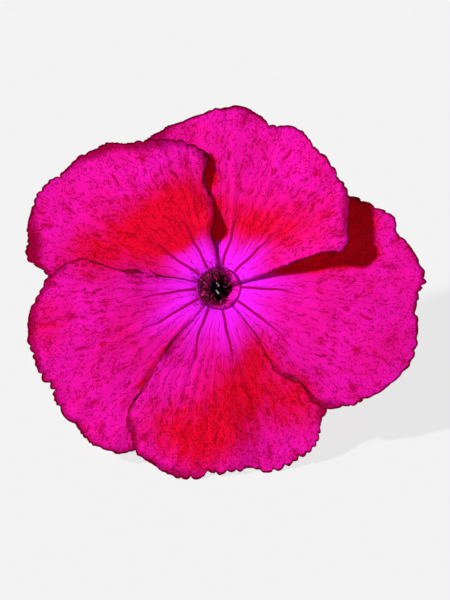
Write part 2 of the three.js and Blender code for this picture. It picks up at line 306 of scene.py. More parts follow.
# ---- petals ------------------------------------------------------------------------------
# Bearings are in degrees from +X, anticlockwise as the face is seen, and lengths in millimetres.
#   claw     the bearings that the petal fills where it leaves the throat
#   teeth    the pitch and depth of the teeth along its rim
#   axis     its middle bearing, from which its own pattern is measured
#   margin   the rim's corners, as bearing and distance from the throat
#   swells   rises across it: place across and along (0 to 1), their widths, and the height
#   sway     where along it its first side bends aside, over what stretch, and how far
#   veins    the bearings where a main vein starts and ends, and how far the violet eye follows it
#   painted_shadows  painted shadow, as red spots where a neighbour's edge casts its shadow: x, y, radius
#   and strength
PETALS = {
    "petal_upper_left": {
        "claw": (96, 166),
        "teeth": (0.62, 0.24),
        "axis": 141,
        "margin": [
            (96.5, 9.6), (98, 10.5), (104, 11.2), (111.6, 12.0), (116.8, 12.3), (127, 13.6),
            (131, 14.0), (137, 14.4), (144, 14.7), (150, 15.3), (159, 15.3), (165, 14.9),
            (171, 14.6), (173, 13.9), (176.5, 12.8), (181, 11.4), (184, 9.6),
        ],
        "swells": [
            (0, 0.62, 0.1, 0.12, -0.3), (0, 0.33, 0.14, 0.13, 0.75), (0, 0.92, 0.12, 0.14, 0.2),
            (0.8, 0.95, 0.25, 0.4, 0.3),
        ],
        "veins": [(145, 145, 5.0), (118, 118, 4.8)],
    },
    "petal_top": {
        "claw": (17, 96),
        "teeth": (0.85, 0.15),
        "axis": 70,
        "margin": [
            (17, 9.3), (18.5, 10.0), (21, 10.4), (29.4, 11.2), (34, 11.8), (38, 12.0), (48.5, 12.55),
            (53.8, 12.8), (59.8, 13.2), (65.4, 13.25), (71.8, 12.85), (75.8, 13.3), (83.4, 13.8),
            (88, 13.65), (94.5, 13.3), (105.8, 12.8), (115.4, 12.5), (121, 11.6), (125, 9.8),
        ],
        "swells": [(0, 0.95, 0.28, 0.5, 1.1), (0.6, 1, 0.3, 0.4, -0.2)],
        "veins": [(83, 74, 5.2), (45, 45, 5.0)],
        # Painted shadow: red spots where the upper-left petal's edge shades this petal.
        "painted_shadows": [
            (-0.8, 9.5, 0.6, 1.0), (-0.7, 8.2, 0.6, 1.0), (-0.5, 6.2, 0.5, 0.7), (-0.1, 4.2, 0.6, 1.1),
        ],
    },
    "petal_right": {
        "claw": (-51, 17),
        "teeth": (0.92, 0.22),
        "axis": -4,
        "margin": [
            (-50, 11.0), (-48.5, 12.1), (-46, 12.5), (-41, 13.35), (-36, 14.0), (-32, 14.5), (-28, 14.9),
            (-23, 15.35), (-18.2, 15.45), (-12.6, 15.3), (-8.4, 15.15), (-7, 14.9), (-1.3, 15.05),
            (2.6, 15.5), (8.7, 15.1), (13.6, 14.55), (17.8, 13.95), (21, 14.2), (23.5, 13.95),
            (27, 13.3), (33, 12.4), (38, 11.3), (42, 9.8),
        ],
        "swells": [(0.45, 0.8, 0.3, 0.4, 0.35)],
        "sway": (0.52, 0.15, -0.5),
        "veins": [(3.7, -4.3, 7.2), (-35.5, -35.5, 5.2)],
        # Painted shadow: red spots tracing the wedge that the top petal's edge shades on this petal.
        "painted_shadows": [
            (3.0, 1.1, 0.35, 1.1), (3.6, 1.3, 0.4, 1.1), (4.4, 1.5, 0.5, 1.1), (5.2, 1.6, 0.6, 1.1),
            (6.2, 1.8, 0.7, 1.1), (7.2, 1.8, 0.7, 1.0), (8.3, 2.2, 0.9, 1.1), (9.4, 2.1, 0.7, 1.0),
            (10.3, 3.0, 1.2, 1.1), (10.6, 2.1, 0.7, 1.0), (11.5, 2.6, 0.7, 1.0), (10.8, 4.7, 1.2, 1.2),
            (10.5, 6.4, 1.0, 1.1),
        ],
    },
    "petal_bottom": {
        "claw": (-129, -51),
        "teeth": (0.7, 0.32),
        "axis": -84,
        "margin": [
            (-128, 10.6), (-127, 11.3), (-124, 12.2), (-120, 13.0), (-117, 13.8), (-113, 14.0),
            (-109, 14.15), (-106, 14.4), (-101.6, 14.5), (-98, 14.55), (-95, 14.35), (-93.6, 13.8),
            (-90.5, 13.95), (-85, 13.8), (-81, 13.65), (-78, 13.95), (-76, 14.3), (-70.6, 14.35),
            (-64.5, 14.1), (-59, 13.9), (-55.5, 13.35), (-53, 12.7), (-47.7, 12.2), (-43, 11.2),
            (-40, 9.6),
        ],
        "swells": [(0.42, 0.7, 0.22, 0.5, 0.3), (0.72, 0.6, 0.16, 0.4, -0.16)],
        "sway": (0.45, 0.18, -0.4),
        "veins": [(-80, -80, 6.0), (-118, -110, 5.0)],
    },
    "petal_lower_left": {
        "claw": (-194, -129),
        "teeth": (0.66, 0.28),
        "axis": -149,
        "margin": [
            (-191, 10.1), (-190, 11.3), (-186.4, 12.2), (-184, 12.7), (-180, 13.25), (-175, 14.0),
            (-170.5, 14.5), (-165.5, 14.85), (-161, 14.9), (-157, 14.95), (-153, 14.85),
            (-149, 14.65), (-146, 14.9), (-140, 15.1), (-136, 14.85), (-133, 15.1), (-128, 15.1),
            (-124, 14.85), (-121, 14.5), (-117, 13.7), (-112, 12.2), (-108, 10.2),
        ],
        "swells": [(0.3, 0.8, 0.25, 0.4, 0.3)],
        "sway": (0.63, 0.2, 0.38),
        "veins": [(-151, -151, 9.5), (180, 188, 5.6)],
        # Painted shadow: red spots along the strip that the bottom petal's edge shades on this petal.
        "painted_shadows": [(-4.0, -4.7, 0.5, 0.8), (-4.8, -5.9, 0.6, 0.8), (-5.7, -7.2, 0.6, 0.7)],
    },
}
# Painted shade on the face: red patches where the blade lies in shade, given as x, y, radius and
# strength, in millimetres from the throat.
RED_SHADE_SPOTS = [
    (-3.4, 4.5, 2.6, 1.15), (-2.2, 7.4, 2.6, 0.6), (-6.4, 3.8, 3.0, 0.65), (-9.8, 2.5, 2.6, 0.65),
    (1.4, 4.8, 2.4, 0.65), (3.8, 4.5, 2.4, 0.45), (6.2, 4.2, 2.8, 0.45), (2.0, -7.6, 3.6, 0.95),
    (3.2, -4.8, 1.5, 0.35), (-4.5, -10.3, 2.5, 0.6), (-1.0, -11.6, 2.8, 0.85), (6.2, -7.7, 1.6, 0.5),
    (-13.2, -2.6, 2.2, 0.55), (-6.6, -3.0, 1.8, 0.4), (-8.8, -4.6, 1.6, 0.35), (-9.0, 8.2, 3.0, 0.2),
    (8.6, 6.5, 2.6, 0.35), (6.2, -10.0, 2.0, 0.35),
]
# Painted shade along the rim: where a curled margin faces away from the lamp or a neighbour's shadow
# falls, a broad wine-dark edge is painted, given the same way.
SHADED_RIM_SPOTS = [
    (-13.9, 2.9, 2.2, 1.5), (-9.0, 10.2, 2.6, 0.8), (-5.0, 10.4, 2.2, 0.8), (-1.0, 9.0, 1.8, 0.7),
    (-13.8, -2.4, 2.6, 0.7), (-12.3, -6.8, 3.0, 0.45), (7.6, -8.6, 1.4, 1.0), (-5.4, -7.4, 1.8, 0.8),
    (-6.2, -10.6, 1.8, 0.8), (9.6, 5.6, 2.0, 0.8), (5.0, -6.4, 1.8, 0.8), (-3.0, -13.2, 2.2, 0.7),
    (0.0, 4.5, 1.6, 0.7), (14.6, 0.0, 3.0, 0.3), (3.0, 13.0, 3.0, 0.3), (-10.0, -10.6, 2.4, 0.3),
    (-3.7, -4.7, 1.1, 1.1), (-9.0, 2.4, 2.0, 0.4),
]
# Where the line round the throat is boldest, given the same way.
BOLD_RING = [(1.5, 0.3, 1.2, 1.0), (0.5, -1.5, 1.1, 0.8)]
PETAL_ACROSS = 260
CLAW_ROWS = 16
BLADE_ROWS = 72
# Fine veins: radians between them, the stretch they run over and half their width, in mm.
FINE_VEINS = [(0.2, 2.0, 7.5, 0.05), (0.095, 4.5, 11.5, 0.05), (0.05, 8.0, 15.5, 0.045)]
PETAL_THICKNESS = 0.16
# Each petal's first side lies over its neighbour and its last side under: half the gap, and
# the distances from the throat between which the gap opens.
LIFT_IN_TUBE = 0.13
LIFT_ON_BLADE = 0.42
LIFT_STRETCH = (2.2, 7)
# Folds of the blade: how high each kind stands.
DROOP_AT_RIM = 0.35
FRILL = 0.3
CURL = 0.1
PLEAT = 0.05
# The violet eye runs out along the main veins, in lobes this many degrees wide.
EYE_LOBE = 16
MEAN_EYE_REACH = 5
# How many degrees a main vein strays from its course.
VEIN_WANDER = 2.2


class Outline:
    """A smooth open line through polar corners, measured along its length."""

    STEPS = 24

    def __init__(self, corners):
        self.points = smooth_path([polar(*corner) for corner in corners], self.STEPS)
        self.lengths = [0.0]
        for start, end in zip(self.points, self.points[1:]):
            self.lengths.append(self.lengths[-1] + (end - start).length)

    def at(self, share):
        length = clamp(share) * self.lengths[-1]
        i = min(bisect_right(self.lengths, length) - 1, len(self.points) - 2)
        span = self.lengths[i + 1] - self.lengths[i]
        return self.points[i].lerp(self.points[i + 1], (length - self.lengths[i]) / span)


class Petal:
    """The shape of one petal: s runs across it, w runs 0..1 up its claw and 1..2 over its blade."""

    def __init__(self, name, seed):
        self.spec = PETALS[name]
        self.seed = seed
        self.outline = Outline(self.spec["margin"])

    def tooth(self, s):
        """How far the rim stands out past its outline, between its uneven teeth and waves."""
        pitch, deepest = self.spec["teeth"]
        turn = s * self.outline.lengths[-1] / pitch
        turn += 1.6 * ripple(turn * 0.31, self.seed, 3.1)
        depth = deepest * (0.62 + 1.3 * ripple(turn * 0.42, self.seed, 8.4))
        lobe = abs(math.sin(math.pi * turn)) ** 0.6
        wave = 0.16 * ripple(turn * 0.7, self.seed, 1.5)
        fine = 0.08 * ripple(turn * 3.3, self.seed, 5.5)
        return depth * (lobe - 0.75) + wave + fine

    def height(self, s, v, angle, radius):
        """How far the blade stands off the throat's plane; v runs 0..1 from throat to rim."""
        bend = -THROAT_DROP * math.exp(-(radius - THROAT_RADIUS) / 0.35)
        droop = -DROOP_AT_RIM * smooth(radius, 6, 16)
        swell = 0.0
        for s0, v0, width_s, width_v, rise in self.spec["swells"]:
            swell += rise * bell(s, s0, width_s) * bell(v, v0, width_v)
        frill = FRILL * ripple(s * 7, v * 1.5, self.seed) * smooth(v, 0.55, 1.0)
        curl = CURL * ripple(s * 19, v * 2, self.seed + 4) * smooth(v, 0.8, 1.0)
        pleat = PLEAT * ripple(angle * 0.35, radius * 0.12, self.seed) * smooth(radius, 1.8, 4.5)
        return bend + droop + swell * smooth(v, 0.05, 0.5) + frill + curl + pleat

    def plain(self, s, w):
        """A point of the petal before its sides are lifted apart from its neighbours'."""
        start, end = self.spec["claw"]
        middle = (start + end) / 2
        angle = middle + (2 * s - 1) * (end - start + CLAW_LAP) / 2
        if w <= 1:
            z = mix(CLAW_BASE_Z, -THROAT_DROP, 1 - (1 - w) ** 2)
            flare = max(0.0, 1 + (z + THROAT_DROP) / FUNNEL_DEPTH) ** 2
            share = mix(CLAW_BASE_SHARE, 1.0, smooth(z, CLAW_BASE_Z, -FUNNEL_DEPTH))
            point = polar(middle + (angle - middle) * share, mix(CLAW_RADIUS, THROAT_RADIUS, flare), z)
            point.x += tube_shift(z + THROAT_DROP)
            return point
        v = (w - 1) ** 1.35
        rim = self.outline.at(s)
        rim += rim.normalized() * self.tooth(s) * smooth(v, 0.9, 1.0)
        point = polar(angle, THROAT_RADIUS).lerp(rim, v)
        bulge_v, width, shift = self.spec.get("sway", (0, 1, 0))
        aside = shift * bell(v, bulge_v, width) * (1 - smooth(s, 0.08, 0.5))
        point += Vector((-point.y, point.x, 0)).normalized() * aside
        point.z = self.height(s, v, angle, math.hypot(point.x, point.y))
        return point

    def at(self, s, w):
        """A point of the petal: its first side is lifted over one neighbour, its last laid under."""
        step = 2e-3

        def near(at_s, at_w):
            return self.plain(clamp(at_s), clamp(at_w, 0.0, 2.0))

        along = near(s, w + step) - near(s, w - step)
        across = near(s + step, w) - near(s - step, w)
        point = near(s, w)
        lift = mix(LIFT_IN_TUBE, LIFT_ON_BLADE, smooth(math.hypot(point.x, point.y), *LIFT_STRETCH))
        return point + along.cross(across).normalized() * lift * (1 - 2 * s)

    def flush(self, angle, radius):
        """How much painted shade and painted shadow redden this spot, how far the violet eye reaches
        along it and how much painted shade darkens its rim.
        """
        place = polar(angle, radius)
        lobe = 0.0
        for start, _, reach in self.spec["veins"]:
            lobe = max(lobe, bell(turn_between(angle, start), 0, EYE_LOBE) * reach / MEAN_EYE_REACH)
        # Painted shade and painted shadow: red where the face lies in shade or under a neighbour's cast
        # shadow.
        red = spot_cover(place, RED_SHADE_SPOTS) + spot_cover(place, self.spec.get("painted_shadows", []))
        return (red, lobe, spot_cover(place, SHADED_RIM_SPOTS))

    def vein_gaps(self, angle, radius):
        """Signed distances to the two main veins, in millimetres, beyond their ends too."""
        gaps = []
        for start, end, _ in self.spec["veins"]:
            course = mix(start, end, clamp(radius / 6))
            course += VEIN_WANDER * ripple(radius * 0.7, start, self.seed)
            gaps.append(math.radians(turn_between(angle, course)) * radius)
        return gaps


def petal_rows():
    """Rows up the claw, then over the blade, where they crowd towards the rim."""
    claw = [i / CLAW_ROWS for i in range(CLAW_ROWS)]
    blade = [2 - (1 - i / BLADE_ROWS) ** 1.25 for i in range(BLADE_ROWS + 1)]
    return claw + blade


def make_petal(name, seed, tissue, underside):
    petal = Petal(name, seed)
    axis = petal.spec["axis"]
    rows = petal_rows()

    # The finishes read a place from the petal's axis with the distance to the nearest edge, then each
    # spot's painted red shade, eye reach and painted rim shade, then the distances to the main veins
    # with the bold ring.
    def build(bm):
        blade = bm.verts.layers.float_vector.new("blade")
        flush = bm.verts.layers.float_vector.new("flush")
        veins = bm.verts.layers.float_vector.new("veins")
        bmesh.ops.create_grid(bm, x_segments=PETAL_ACROSS, y_segments=len(rows) - 1, size=1)
        borders = {w: (petal.at(0, w), petal.at(1, w)) for w in rows}
        for vert in bm.verts:
            s = (1 - vert.co.x) / 2
            w = rows[round((vert.co.y + 1) / 2 * (len(rows) - 1))]
            point = petal.at(s, w)
            angle = math.degrees(math.atan2(point.y, point.x))
            radius = math.hypot(point.x, point.y)
            sides = min((border - point).length for border in borders[w])
            edge = min(sides, (petal.plain(s, 2) - petal.plain(s, w)).length)
            off = math.radians(turn_between(angle, axis))
            reach = radius if w > 1 else THROAT_RADIUS + point.z
            vert[blade] = (reach * math.cos(off), reach * math.sin(off), edge)
            vert[flush] = petal.flush(angle, radius)
            vert[veins] = (*petal.vein_gaps(angle, radius), spot_cover(polar(angle, radius), BOLD_RING))
            vert.co = point

    made = piece(f"{name}_blade", build, tissue, [name])
    made.data.materials.append(underside)
    thicken(made, PETAL_THICKNESS).modifiers["wall"].material_offset = 1
    return petal


class PetalSkin(Finish):
    """What both faces of a petal share: places on it, its patterns and its fine veins."""

    def __init__(self, name):
        super().__init__(name, Roughness=0.8, Specular_IOR_Level=0.0)
        x, y, self.edge = self.parts(self.attribute("blade"))
        self.flat = self.vector(x, y)
        self.radius = (x * x + y * y) ** 0.5
        self.bearing = self.node("ShaderNodeMath", {"operation": "ARCTAN2"}, [y, x])
        self.mottle = self.noise(self.flat, 1.1, 4.0, 0.6)
        self.speck = self.noise(self.flat, 6.5, 2.0, 0.6)
        self.wander = self.noise(self.flat, 0.9, 3.0) - 0.5
        # Streaks run out from the throat, so they are drawn in bearing and distance.
        self.fan = self.vector(self.bearing * 26 + self.wander * 2.0, self.radius * 0.35)
        self.streak = self.noise(self.fan, 1.0, 3.0, 0.55)

    def fine_veins(self, dark, clear):
        """Veins that split twice on the way out, fading from dark to clear half-widths away."""
        lines = 0.0
        for spacing, start, end, width in FINE_VEINS:
            turn = (self.bearing + self.wander * 0.16) / spacing
            gap = abs(turn.maths("FRACT") - 0.5) * spacing * self.radius
            stretch = self.rise(self.radius, start, start + 1.0) * self.fall(self.radius, end - 2.0, end)
            lines = self.fall(gap, width * dark, width * clear) * stretch + lines
        return lines


def petal_finish():
    """Magenta petal tissue: violet eye, painted red shade and painted shadows, branching veins and a
    wine-dark rim with painted shade on it.
    """
    skin = PetalSkin("petal_tissue")
    red, lobe, rim_shade = skin.parts(skin.attribute("flush"))
    vein_a, vein_b, bold = skin.parts(skin.attribute("veins"))
    flat, radius, bearing, edge = skin.flat, skin.radius, skin.bearing, skin.edge
    mottle, speck, wander, streak = skin.mottle, skin.speck, skin.wander, skin.streak

    cloud = skin.noise(flat, 0.28, 3.0)
    colour = skin.colour(srgb(245, 20, 168), srgb(252, 22, 192), skin.rise(cloud, 0.35, 0.65))
    colour = skin.colour(colour, srgb(233, 15, 118), skin.rise(mottle + streak * 0.5, 0.72, 1.0) * 0.6)
    # Painted shade and painted shadow: the tissue turns red where it lies in shade or under a
    # neighbour's shadow, and the violet eye gives way there.
    uneven = (mottle - 0.5) * 0.5 + (streak - 0.5) * 0.7
    red_shade = skin.rise(red + uneven * red.maths("MINIMUM", 1.0), 0.12, 1.0)
    colour = skin.colour(colour, srgb(240, 11, 36), red_shade * 0.95)
    eye_reach = 3.2 + lobe * 1.3 + (streak - 0.5) * 2.2
    eye = skin.fall(radius / eye_reach, 0.5, 1.35) * skin.fall(red, 0.7, 1.05)
    colour = skin.colour(colour, srgb(252, 32, 255), eye)

    # Dried crimson streaks that lie along the veins of the outer blade.
    long_fan = skin.vector(bearing * 34 + wander * 3.0, radius * 0.75)
    withered = skin.rise(skin.noise(long_fan, 1.0, 3.0, 0.6), 0.54, 0.62)
    withered = withered * skin.rise(mottle, 0.44, 0.56) * skin.rise(radius, 3.5, 7.0)
    colour = skin.colour(colour, srgb(168, 2, 42), withered * 0.72)

    # Main veins that thin on the way out, then finer ones that break off here and there.
    half_width = 0.17 - radius * 0.01

    def main_vein(gap):
        return skin.fall(abs(gap + wander * 0.06), half_width * 0.35, half_width)

    main = main_vein(vein_a) + main_vein(vein_b)
    main = main * skin.fall(radius + wander * 3.0, 4.2, 7.0) * skin.rise(radius, 1.6, 1.8)
    broken = skin.rise(skin.noise(skin.vector(bearing * 30, radius * 2.2), 1.0, 2.0), 0.4, 0.54)
    fine = skin.fine_veins(0.35, 1.0) * broken

    # Stipple: small dots, gathered along the streaks, towards the margin and a little into the painted
    # red shade.
    dots = skin.cells(flat, 6.6)
    dashes = skin.cells(skin.vector(bearing * 62 + wander * 3.0, radius * 2.4), 1.0)
    crowd = skin.noise(skin.fan, 2.2, 2.0) * 0.5 + mottle * 0.5 + skin.rise(radius, 3.0, 13.0) * 0.08
    crowd = crowd + skin.fall(edge, 0.3, 2.5) * 0.08 + red * 0.07
    crowd = skin.rise(crowd, 0.42, 0.66)
    stipple = skin.fall(dots - crowd * 0.3, 0.0, 0.09) * skin.rise(speck, 0.36, 0.5)
    stipple = stipple + skin.fall(dashes - crowd * 0.2, 0.0, 0.1) * skin.rise(mottle, 0.4, 0.56)
    stipple = stipple.maths("MINIMUM", 1.0) * skin.rise(radius, 2.2, 5.0)
    colour = skin.colour(colour, srgb(150, 2, 58), main.maths("MINIMUM", 1.0) * 0.92)
    dark = (fine * 0.55 + stipple * 0.78).maths("MINIMUM", 0.9)
    colour = skin.colour(colour, srgb(122, 2, 30), dark)

    # The rim: a wine-dark band of uneven width, broadened and darkened as painted shade where the shaded
    # rim spots lie, with a nearly black line at its edge.
    ragged = edge + (speck - 0.5) * 0.3 - (mottle - 0.5) * 0.25
    band = skin.fall(ragged / (rim_shade * 0.75 + 0.12), 0.5, 1.5)
    colour = skin.colour(colour, srgb(128, 2, 26), band * (0.35 + rim_shade * 0.5).maths("MINIMUM", 0.9))
    rim = skin.fall(ragged, 0.1, 0.22) * (skin.rise(radius, 2.5, 6.0) * 0.4 + 0.54)
    colour = skin.colour(colour, srgb(76, 1, 16), rim)

    # A broken ring round the throat, the throat's lining and the freckles on its lip.
    drift = abs(radius - 1.58 + wander * 0.2)
    ring = skin.fall(drift / (bold * 0.1 + 0.09), 0.6, 1.2) * skin.rise(speck + bold * 0.25, 0.32, 0.46)
    colour = skin.colour(colour, srgb(104, 2, 84), ring * 0.94)
    inside = skin.fall(radius, 1.25, 1.6)
    colour = skin.colour(colour, srgb(250, 12, 150), inside * 0.6)
    freckle = skin.rise(skin.noise(flat, 8.0, 2.0, 0.6), 0.5, 0.58)
    freckle = freckle * skin.fall(radius + bold * 0.7, 1.3, 2.7)
    colour = skin.colour(colour, srgb(112, 4, 62), freckle * 0.8)

    relief = streak * 0.5 + speck * 0.25 - main * 0.5 - fine * 0.35 - stipple * 0.2
    skin.feed(Base_Color=colour, Normal=skin.bump(relief, 0.00006, 0.8))
    return skin.let_light_through(srgb(252, 4, 24), 0.32 - eye * 0.16)


def underside_finish():
    """The duller back of a petal: paler towards its claw, with raised pinkish nerves."""
    skin = PetalSkin("petal_underside")
    vein_a, vein_b, _ = skin.parts(skin.attribute("veins"))
    radius, speck, streak = skin.radius, skin.speck, skin.streak
    patches = skin.rise(streak + skin.mottle * 0.4, 0.5, 0.95)
    colour = skin.colour(srgb(206, 40, 132), srgb(226, 84, 158), patches)
    pale = skin.fall(radius + (streak - 0.5) * 3.0, 1.6, 6.0)
    colour = skin.colour(colour, srgb(236, 176, 206), pale * 0.75)
    claw = skin.fall(radius, 0.0, 1.7)
    colour = skin.colour(colour, srgb(226, 214, 190), claw * 0.8)
    nerve = skin.fine_veins(0.5, 1.6)
    for gap in (vein_a, vein_b):
        nerve = skin.fall(abs(gap), 0.06, 0.16) * skin.fall(radius, 5.0, 9.0) + nerve
    nerve = nerve.maths("MINIMUM", 1.0)
    colour = skin.colour(colour, srgb(158, 24, 92), nerve * 0.5)
    # The margin rolls over here and there, so its wine-dark band shows from the front too.
    rim = skin.fall(skin.edge + (speck - 0.5) * 0.3, 0.42, 0.72)
    colour = skin.colour(colour, srgb(118, 2, 28), rim * 0.94)
    relief = streak * 0.4 + nerve * 0.7 + speck * 0.2
    skin.feed(Base_Color=colour, Normal=skin.bump(relief, 0.00008, 0.8))
    return skin.let_light_through(srgb(252, 2, 24), 0.32)


# ---- beard of short hairs round the throat -----------------------------------------------
HAIR_COUNT = 460
HAIR_RADIUS = 0.034
HAIR_TIP_SHARE = 0.35
# Shares of the beard in the order of PETALS: the two left-hand ones carry most of it.
BEARD_SHARES = [6, 1.5, 0.3, 1.0, 6]
# Where hairs stand along a petal, its throat's lip being at 1: lowest, highest, most often.
BEARD_ROWS = (0.58, 1.24, 0.8)
THROAT_HAIR_LENGTHS = (0.3, 0.8)
OUTER_HAIR_LENGTHS = (0.1, 0.26)


def make_hairs(petals, material):
    rng = random.Random(7)

    def build(bm):
        for _ in range(HAIR_COUNT):
            petal = rng.choices(petals, BEARD_SHARES)[0]
            s, w = rng.uniform(0.02, 0.98), rng.triangular(*BEARD_ROWS)
            foot = petal.at(s, w)
            along = petal.at(s, w + 0.01) - foot
            across = petal.at(min(s + 0.01, 1), w) - foot
            # Those on the throat's lip lean in over the hole, and the outer ones stand up.
            inward = -Vector((foot.x, foot.y, 0)).normalized() * (1 - smooth(w, 0.95, 1.08))
            lean = Vector((rng.uniform(-0.5, 0.5), rng.uniform(-0.5, 0.5), 0.5))
            up = (along.cross(across).normalized() * 0.6 + inward + lean).normalized()
            lengths = rng.uniform(*THROAT_HAIR_LENGTHS), rng.uniform(*OUTER_HAIR_LENGTHS)
            length = mix(*lengths, smooth(w, 0.93, 1.04))
            turn = up.to_track_quat("Z", "Y").to_matrix().to_4x4()
            middle = foot + up * (length / 2 + PETAL_THICKNESS * 0.4)
            bmesh.ops.create_cone(
                bm,
                cap_ends=True,
                segments=5,
                radius1=HAIR_RADIUS,
                radius2=HAIR_RADIUS * HAIR_TIP_SHARE,
                depth=length,
                matrix=Matrix.Translation(middle) @ turn,
            )

    return piece("throat_beard", build, material, [])


def hair_finish():
    """Short wine-red hairs, some nearly black."""
    hair = Finish("beard_hair", Roughness=0.6, Specular_IOR_Level=0.2)
    tone = hair.rise(hair.noise(hair.place(), 3500.0, 1.0), 0.44, 0.68)
    return hair.feed(Base_Color=hair.colour(srgb(84, 4, 34), srgb(226, 22, 132), tone))


petal_tissue = petal_finish()
petal_underside = underside_finish()
petals = [
    make_petal(petal_name, 11.3 + 7.7 * index, petal_tissue, petal_underside)
    for index, petal_name in enumerate(PETALS)
]
make_hairs(petals, hair_finish())


# ---- helpers for round pieces ------------------------------------------------------------
def wrapped(bm, around, rows, shape):
    """A tube from a grid: shape(turn, row) gives each corner, turn from 0 to 1."""
    made = bmesh.ops.create_grid(bm, x_segments=around, y_segments=rows, size=1)["verts"]
    spots = [((vert.co.x + 1) / 2, round((vert.co.y + 1) / 2 * rows)) for vert in made]
    for vert, (turn, row) in zip(made, spots):
        vert.co = shape(turn % 1.0, row)
    bmesh.ops.remove_doubles(bm, verts=made, dist=1e-4)
    return [vert for vert in made if vert.is_valid]


def strand(bm, path, radii, sides=8):
    """A round strand along a path; it closes where its radius is nought."""

    def shape(turn, row):
        ahead = path[min(row + 1, len(path) - 1)] - path[max(row - 1, 0)]
        side = ahead.cross(Vector((0.3, 1, 0.2))).normalized()
        other = ahead.cross(side).normalized()
        angle = 2 * math.pi * turn
        return path[row] + (side * math.cos(angle) + other * math.sin(angle)) * radii[row]

    return wrapped(bm, sides, len(path) - 1, shape)


# ---- calyx -------------------------------------------------------------------------------
CALYX_RIBS = 35
CALYX_RIB_HEIGHT = 0.035
CALYX_ROWS = 90
CALYX_FOOT_SHARE = 0.2
CALYX_WALL = 0.2


def calyx_tooth(turn):
    """Height of the calyx rim over its notches, from 0 to 1, with five pointed teeth."""
    part = (turn * 5 + 0.5) % 1.0
    return (1 - abs(2 * part - 1)) ** 1.15


def make_calyx(material):
    # The rounded foot closes on the stalk.
    foot = [
        (CALYX_NECK_RADIUS - 0.18, CALYX_BASE_Z), (1.35, CALYX_BASE_Z + 0.06),
        (1.75, CALYX_BASE_Z + 0.7), (1.86, CALYX_BASE_Z + 1.6), (CALYX_OUTER, CALYX_BASE_Z + 2.5),
    ]

    def build(bm):
        skin = bm.verts.layers.float_vector.new("skin")

        def shape(turn, row):
            share = row / CALYX_ROWS
            if share < CALYX_FOOT_SHARE:
                radius, z = along_profile(foot, share / CALYX_FOOT_SHARE)
            else:
                radius, top = CALYX_OUTER, CALYX_SINUS_Z + CALYX_TOOTH * calyx_tooth(turn)
                z = mix(foot[-1][1], top, (share - CALYX_FOOT_SHARE) / (1 - CALYX_FOOT_SHARE))
            flare = CALYX_TOOTH_FLARE * max(0.0, (z - CALYX_SINUS_Z) / CALYX_TOOTH)
            rib = math.cos(2 * math.pi * CALYX_RIBS * turn) * smooth(share, 0.06, CALYX_FOOT_SHARE)
            radius += CALYX_RIB_HEIGHT * rib + flare - CALYX_RIB_HEIGHT
            radius += 0.03 * ripple(turn * 9, z * 0.4, 2.0)
            return follow_tube(polar(360 * turn, radius, z))

        for vert in wrapped(bm, CALYX_RIBS * 8, CALYX_ROWS, shape):
            x, y, z = vert.co
            bearing = math.atan2(y, x - tube_shift(z))
            vert[skin] = (math.cos(CALYX_RIBS * bearing), z, 0.0)

    made = piece("calyx_tube", build, material, ["calyx"])
    return thicken(made, CALYX_WALL, -1.0)


def calyx_finish():
    """Ribbed green calyx, paler between the ribs, with purple-brown teeth."""
    skin = Finish("calyx_skin", Roughness=0.55, Specular_IOR_Level=0.35)
    rib, z, _ = skin.parts(skin.attribute("skin"))
    cloud, fine = skin.cloud_and_grain(260.0, 2600.0)
    on_rib = skin.rise(rib + (fine - 0.5) * 0.8, -0.7, 0.8)
    colour = skin.colour(srgb(150, 178, 96), srgb(84, 128, 52), on_rib)
    colour = skin.colour(colour, srgb(118, 150, 70), skin.rise(cloud, 0.42, 0.68) * 0.6)
    blush = skin.rise(z + cloud * 3.0, -4.6, -0.6)
    colour = skin.colour(colour, srgb(112, 42, 66), blush * 0.85)
    pale_foot = skin.fall(z, CALYX_BASE_Z, CALYX_BASE_Z + 1.2)
    colour = skin.colour(colour, srgb(190, 196, 130), pale_foot * 0.7)
    rough = 0.5 + fine * 0.2
    return skin.feed(Base_Color=colour, Roughness=rough, Normal=skin.bump(fine, 0.00004, 0.6))


# ---- bracts ------------------------------------------------------------------------------
BRACT_LEAF_THICKNESS = 0.11
# Each bract's bearing, the height its awn reaches and how far the awn spreads.
BRACTS = {
    "bract_upper": (90, -2.6, 0.7),
    "bract_left": (180, -3.4, 0.9),
    "bract_lower": (270, -2.9, 0.6),
    "bract_right": (0, -3.2, 0.9),
}


def make_bract(name, seed, material):
    direction, reach, spread = BRACTS[name]

    def build(bm):
        leaf = bm.verts.layers.float_vector.new("leaf")
        bmesh.ops.create_grid(bm, x_segments=36, y_segments=140, size=1)
        for vert in bm.verts:
            across, v = vert.co.x, (vert.co.y + 1) / 2
            body = math.sin(math.pi * clamp(v / BRACT_BODY_SHARE) ** 0.75)
            half_width = BRACT_AWN_HALF_WIDTH * mix(1, 0.45, v) + BRACT_HALF_WIDTH * max(0, body)
            half_width += 0.35 * bell(v, 0, 0.08)
            half_width *= 1 + 0.04 * ripple(v * 30, seed) * abs(across)
            radius = CALYX_OUTER + BRACT_CLEARANCE + BRACT_THICKNESS / 2
            # The awn spreads and the foot bends in to the neck.
            radius += spread * smooth(v, 0.45, 1) - 1.1 * bell(v, 0, 0.05)
            # A midrib, fine nerves and edges that stand off a little.
            radius += 0.07 * bell(across, 0, 0.16) * smooth(v, 0.02, 0.2) * (1 - smooth(v, 0.8, 1))
            radius += 0.03 * math.cos(across * 14) * max(0, body) + 0.08 * max(0, body) * across**2
            angle = direction + math.degrees(across * half_width / radius)
            z = mix(CALYX_BASE_Z - 0.35, reach, v)
            vert[leaf] = (across * half_width, v, 1 - abs(across))
            vert.co = follow_tube(polar(angle, radius, z))
        bmesh.ops.reverse_faces(bm, faces=bm.faces)

    made = piece(f"{name}_leaf", build, material, [name])
    return thicken(made, BRACT_LEAF_THICKNESS)


